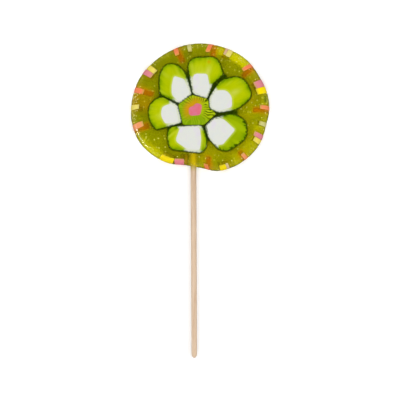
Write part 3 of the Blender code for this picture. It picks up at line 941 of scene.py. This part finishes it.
def lined_sugar():
    """Thin threads of dark green sugar pulled into lime, all running to the eye, which has bled amber."""
    material, tree, shader = new_material("lined_green_sugar", Roughness=0.16, IOR=1.5)
    where, bearing, polar = places_round_eye(tree, 7.0, 500.0)
    edge, eye = (
        add(tree, "ShaderNodeAttribute", attribute_name=label).outputs["Fac"]
        for label in ("from_edge", "from_heart")
    )
    stretched = add(tree, "ShaderNodeMapping", {"Vector": polar, "Scale": (1.0, 0.4, 1.0)}).outputs[0]
    wave, uneven, patches = (
        add(tree, "ShaderNodeTexNoise", {"Vector": vector, "Scale": scale, "Detail": 1.0}).outputs["Fac"]
        for vector, scale in ((where, 240.0), (stretched, 1.0), (where, 110.0))
    )
    for operation, value in (("MULTIPLY", 0.5), ("ADD", bearing), ("MULTIPLY", THREADS), ("SINE", 0.0)):
        wave = add(tree, "ShaderNodeMath", {0: wave, 1: value}, operation=operation).outputs[0]
    shift = add(
        tree,
        "ShaderNodeMapRange",
        {"Value": uneven, "From Min": 0.3, "From Max": 0.7, "To Min": -0.7, "To Max": 0.7},
    ).outputs[0]
    upwards, leftwards = (
        add(tree, "ShaderNodeVectorMath", {0: where, 1: way}, operation="DOT_PRODUCT").outputs["Value"]
        for way in ((55.0, 95.0, 0.0), (-60.0, 50.0, 0.0))
    )
    shifted, up_and_patchy = (
        add(tree, "ShaderNodeMath", {0: one, 1: other}, operation="ADD").outputs[0]
        for one, other in ((wave, shift), (upwards, patches))
    )
    span = {}
    for label, value, (low, high), (first, last), bend in (
        ("dark thread", shifted, (0.0, 0.8), (0.0, 1.0), EVEN),
        ("light thread", wave, (0.1, -0.9), (0.0, 0.4), EVEN),
        ("off the eye", eye, (0.4, 2.4), (0.1, 0.9), EVEN),
        ("threaded", up_and_patchy, (0.1, 0.6), (0.1, 1.0), EVEN),
        ("near the eye", eye, (0.2, 4.6), (1.0, 0.0), EVEN),
        ("left of the eye", leftwards, (-0.15, 0.3), (0.0, 1.0), EVEN),
        ("rim", edge, (0.05, 0.5), (0.5, 0.0), SOFT),
    ):
        limits = {"Value": value, "From Min": low, "From Max": high, "To Min": first, "To Max": last}
        span[label] = add(tree, "ShaderNodeMapRange", limits, interpolation_type=bend, label=label).outputs[0]
    light, drawn, glow = (
        add(tree, "ShaderNodeMath", {0: one, 1: other}, operation="MULTIPLY").outputs[0]
        for one, other in (
            (span["light thread"], uneven),
            (span["threaded"], span["off the eye"]),
            (span["near the eye"], span["left of the eye"]),
        )
    )
    dark = add(tree, "ShaderNodeMath", {0: span["dark thread"], 1: drawn}, operation="MULTIPLY").outputs[0]
    paint = "#7ca204"
    for label, share, tint in (
        ("lighter above", span["threaded"], "#a8bc0a"),
        ("light threads", light, "#ccd830"),
        ("dark threads", dark, "#304600"),
        ("amber by the eye", glow, "#d48c14"),
        ("dark rim", span["rim"], "#2c4600"),
    ):
        layer = {"Factor": share, "A": paint, "B": tint}
        paint = add(tree, "ShaderNodeMix", layer, data_type="RGBA", label=label).outputs["Result"]
    tree.links.new(paint, shader.inputs["Base Color"])
    return material


def strip_sugar(name):
    """Coloured sugar laid on the rim, uneven in depth, melting into the clear sugar at its inner end. On the
    back it is smeared thin."""
    deep, light = STRIP_COLOURS[name]
    material, tree, shader = new_material(
        f"{name}_strip_sugar", Roughness=0.2, IOR=1.5, Specular_IOR_Level=0.2
    )
    where = add(tree, "ShaderNodeTexCoord").outputs["Object"]
    end, front, pale = (
        add(tree, "ShaderNodeAttribute", attribute_name=label).outputs["Fac"]
        for label in ("from_end", "front", "pale")
    )
    drift = add(tree, "ShaderNodeTexNoise", {"Vector": where, "Scale": 500.0, "Detail": 2.0}).outputs["Fac"]
    melt, smear = (
        add(
            tree,
            "ShaderNodeMapRange",
            {"Value": value, "From Min": low, "From Max": high, "To Min": strength, "To Max": 0.0},
            interpolation_type=bend,
        ).outputs[0]
        for value, low, high, strength, bend in (
            (end, 0.1, 1.8, 0.55, SOFT),
            (front, 0.0, 1.0, 0.45, EVEN),
        )
    )
    paint = deep
    for label, share, tint in (
        ("uneven depth", drift, light),
        ("melted end", melt, "#b8a838"),
        ("smeared back", smear, "#f8e0b0"),
        ("pale strip", pale, "#dcd494"),
    ):
        layer = {"Factor": share, "A": paint, "B": tint}
        paint = add(tree, "ShaderNodeMix", layer, data_type="RGBA", label=label).outputs["Result"]
    tree.links.new(paint, shader.inputs["Base Color"])
    return material


def trapped_air():
    """Tiny bubbles of air at the skin of the sugar: pale, bright specks."""
    material, tree, shader = new_material("trapped_air", Roughness=0.12, IOR=1.33)
    where = add(tree, "ShaderNodeTexCoord").outputs["Object"]
    drift = add(tree, "ShaderNodeTexNoise", {"Vector": where, "Scale": 300.0}).outputs["Fac"]
    body = add(tree, "ShaderNodeMix", {"Factor": drift, "A": "#d8d850", "B": "#f8f4b0"}, data_type="RGBA")
    tree.links.new(body.outputs["Result"], shader.inputs["Base Color"])
    return material


def birch():
    """Sanded birch: pale pinkish wood with fine straight grain along the stick. Where it leaves the slice, a
    thin film of the clear sugar has run down it."""
    material, tree, shader = new_material("sanded_birch", Roughness=0.6, IOR=1.5)
    where = add(tree, "ShaderNodeTexCoord").outputs["Object"]
    stretched = add(tree, "ShaderNodeMapping", {"Vector": where, "Scale": (1.0, 0.03, 1.0)}).outputs[0]
    grain = add(
        tree,
        "ShaderNodeTexNoise",
        {"Vector": stretched, "Scale": 2200.0, "Detail": 4.0, "Roughness": 0.6},
    ).outputs["Fac"]
    body = add(
        tree,
        "ShaderNodeValToRGB",
        {0: grain},
        stops=[(0.3, "#ccaa8c"), (0.5, "#ddc2a5"), (0.7, "#e4cab0")],
    ).outputs[0]
    along = add(tree, "ShaderNodeSeparateXYZ", {0: where}).outputs["Y"]
    film = add(
        tree,
        "ShaderNodeMapRange",
        {"Value": along, "From Min": FILM[0] * MM, "From Max": FILM[1] * MM, "To Max": 0.95},
    ).outputs[0]
    filmed = add(tree, "ShaderNodeMix", {"Factor": film, "A": body, "B": "#bba629"}, data_type="RGBA")
    bump = add(tree, "ShaderNodeBump", {"Height": grain, "Strength": 0.3, "Distance": 0.0001})
    tree.links.new(filmed.outputs["Result"], shader.inputs["Base Color"])
    tree.links.new(bump.outputs[0], shader.inputs["Normal"])
    return material


# The studio


def light_panel(name, aim, azimuth, elevation, distance, width, height, radiance):
    """A soft box that faces a point. Azimuth is clockwise from +Y, as seen from above."""
    turn, lift = math.radians(azimuth), math.radians(elevation)
    towards = Vector((math.sin(turn) * math.cos(lift), math.cos(turn) * math.cos(lift), math.sin(lift)))
    lamp = bpy.data.lights.new(name, "AREA")
    lamp.shape = "RECTANGLE"
    lamp.size, lamp.size_y = width, height
    lamp.energy = radiance * math.pi * width * height
    holder = bpy.data.objects.new(name, lamp)
    bpy.context.scene.collection.objects.link(holder)
    holder.location = aim + towards * distance
    holder.rotation_euler = (-towards).to_track_quat("-Z", "Y").to_euler()
    return holder


def studio():
    """Four soft boxes all round, one low strip light at the lower left, a pale room and a white floor."""
    scene = bpy.context.scene
    scene.view_settings.view_transform = "Standard"
    middle = Vector((*FRAME_CENTRE, 0.0)) * MM
    head = Vector((*HEAD_CENTRE, THICKNESS / 2)) * MM
    for number, azimuth in enumerate(SOFT_BOX_AZIMUTHS):
        soft_box = light_panel(f"soft_box_{number}", middle, azimuth, **SOFT_BOX)
        soft_box.visible_glossy = soft_box.visible_transmission = False
    strip_light = light_panel("strip_light", head, **STRIP_LIGHT)
    strip_light.visible_diffuse = strip_light.visible_transmission = False
    world = bpy.data.worlds.new("pale_studio")
    scene.world = world
    world.use_nodes = True
    tree = world.node_tree
    where = add(tree, "ShaderNodeTexCoord").outputs["Generated"]
    height = add(tree, "ShaderNodeSeparateXYZ", {0: where}).outputs["Z"]
    half_way = add(tree, "ShaderNodeMapRange", {"Value": height, "From Min": -1.0, "From Max": 1.0})
    sky = add(tree, "ShaderNodeValToRGB", {0: half_way.outputs[0]}, stops=SKY_COLOURS)
    tree.links.new(sky.outputs[0], tree.nodes["Background"].inputs["Color"])
    corners = [(x * FLOOR_HALF, y * FLOOR_HALF, FLOOR_LEVEL) for x, y in ((-1, -1), (1, -1), (1, 1), (-1, 1))]
    floor = new_piece("pale_floor", corners, [(0, 1, 2, 3)])
    paper, _, _ = new_material(
        "white_paper",
        Base_Color=colour("#f4f4f4"),
        Roughness=1.0,
        Emission_Color=colour("#ffffff"),
        Emission_Strength=0.2,
    )
    floor.data.materials.append(paper)
    floor.visible_glossy = False
    camera = bpy.data.objects.new("camera", bpy.data.cameras.new("camera"))
    scene.collection.objects.link(camera)
    camera.data.type = "PERSP"
    camera.data.lens = LENS
    camera.data.sensor_width = SENSOR
    distance = FRAME_PIXELS * MM_PER_PIXEL * LENS / SENSOR
    camera.location = Vector((*FRAME_CENTRE, SCALE_LEVEL + distance)) * MM
    camera.data.clip_start, camera.data.clip_end = CLIP
    scene.camera = camera


# The whole lollipop


def mark_petal(mesh):
    """Writes where a petal is paler in soft patches, and where a drop of amber has run into it."""
    spots = points_of(mesh)[:, :2]
    wash = np.zeros(len(spots))
    for x, y in PALE_PATCHES:
        out = np.array((x, y)) / math.hypot(x, y)
        off = spots - (x, y)
        along, across = off @ out, off @ (-out[1], out[0])
        wash = np.maximum(wash, PATCH_DEPTH * np.exp(-((along / PATCH_LONG) ** 2) - (across / PATCH_WIDE) ** 2))
    amber = AMBER_DEPTH * np.exp(-np.sum((spots - AMBER_SPOT) ** 2, axis=1) / AMBER_RADIUS**2)
    write_layers(mesh, wash=wash, amber=amber)


def birch_stick():
    """The stick, with a small bevel at its top end and a round tip."""
    start, end, top, tip = stick_line()
    length = (end - start).length
    stations = [(0.0, top - STICK_BEVEL), (STICK_BEVEL, top), (length - TIP_LENGTH, tip)]
    for step in range(1, 9):
        turn = math.radians(10 * step)
        stations.append((length - TIP_LENGTH * (1 - math.sin(turn)), tip * math.cos(turn)))
    return lathe("birch_stick", start, end, stations, STICK_SIDES)


def main():
    """The strips, the slice that meets them, its bubbles, the flower, the stick and the studio."""
    strip_nodes = sorted(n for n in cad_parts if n.startswith("rim_strip_"))
    strips = [melted_strip(node.replace("rim_strip", "strip"), node) for node in strip_nodes]
    slice_piece = fine_slice(strips)
    bubbles = bubbles_on(slice_piece, trapped_air())
    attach(bubbles, "root")
    dress(slice_piece, "candy_head", clear_sugar())
    lime, white = lime_sugar(), clouded_sugar(*WHITE_SUGAR)
    for place in PLACES:
        own, hole = outlines(f"petal_{place}")
        petal = column(f"lime_petal_{place}", own, hole, grow=2 * SEAM, shaded=SHADED.get(place, 0.0))
        mark_petal(petal.data)
        heart = column(f"white_heart_{place}", outlines(f"heart_{place}")[0], melt=0.0, grow=SEAM)
        if place == "bottom":
            bored(petal)
            bored(heart)
        dress(petal, f"petal_{place}", lime)
        dress(heart, f"heart_{place}", white)
    own, hole = outlines("flower_centre")
    centre = column("lined_centre", own, hole, grow=2 * SEAM)
    dress(centre, "flower_centre", lined_sugar())
    eye = column("pink_eye", outlines("flower_eye")[0], melt=0.0, grow=SEAM)
    dress(eye, "flower_eye", clouded_sugar(*PINK_SUGAR))
    sugars = {name: strip_sugar(name) for name in STRIP_COLOURS}
    for node, strip in zip(strip_nodes, strips):
        name = node.rsplit("_", 1)[1]
        dress(strip, node, sugars[name])
    dress(birch_stick(), "stick", birch())
    studio()


main()
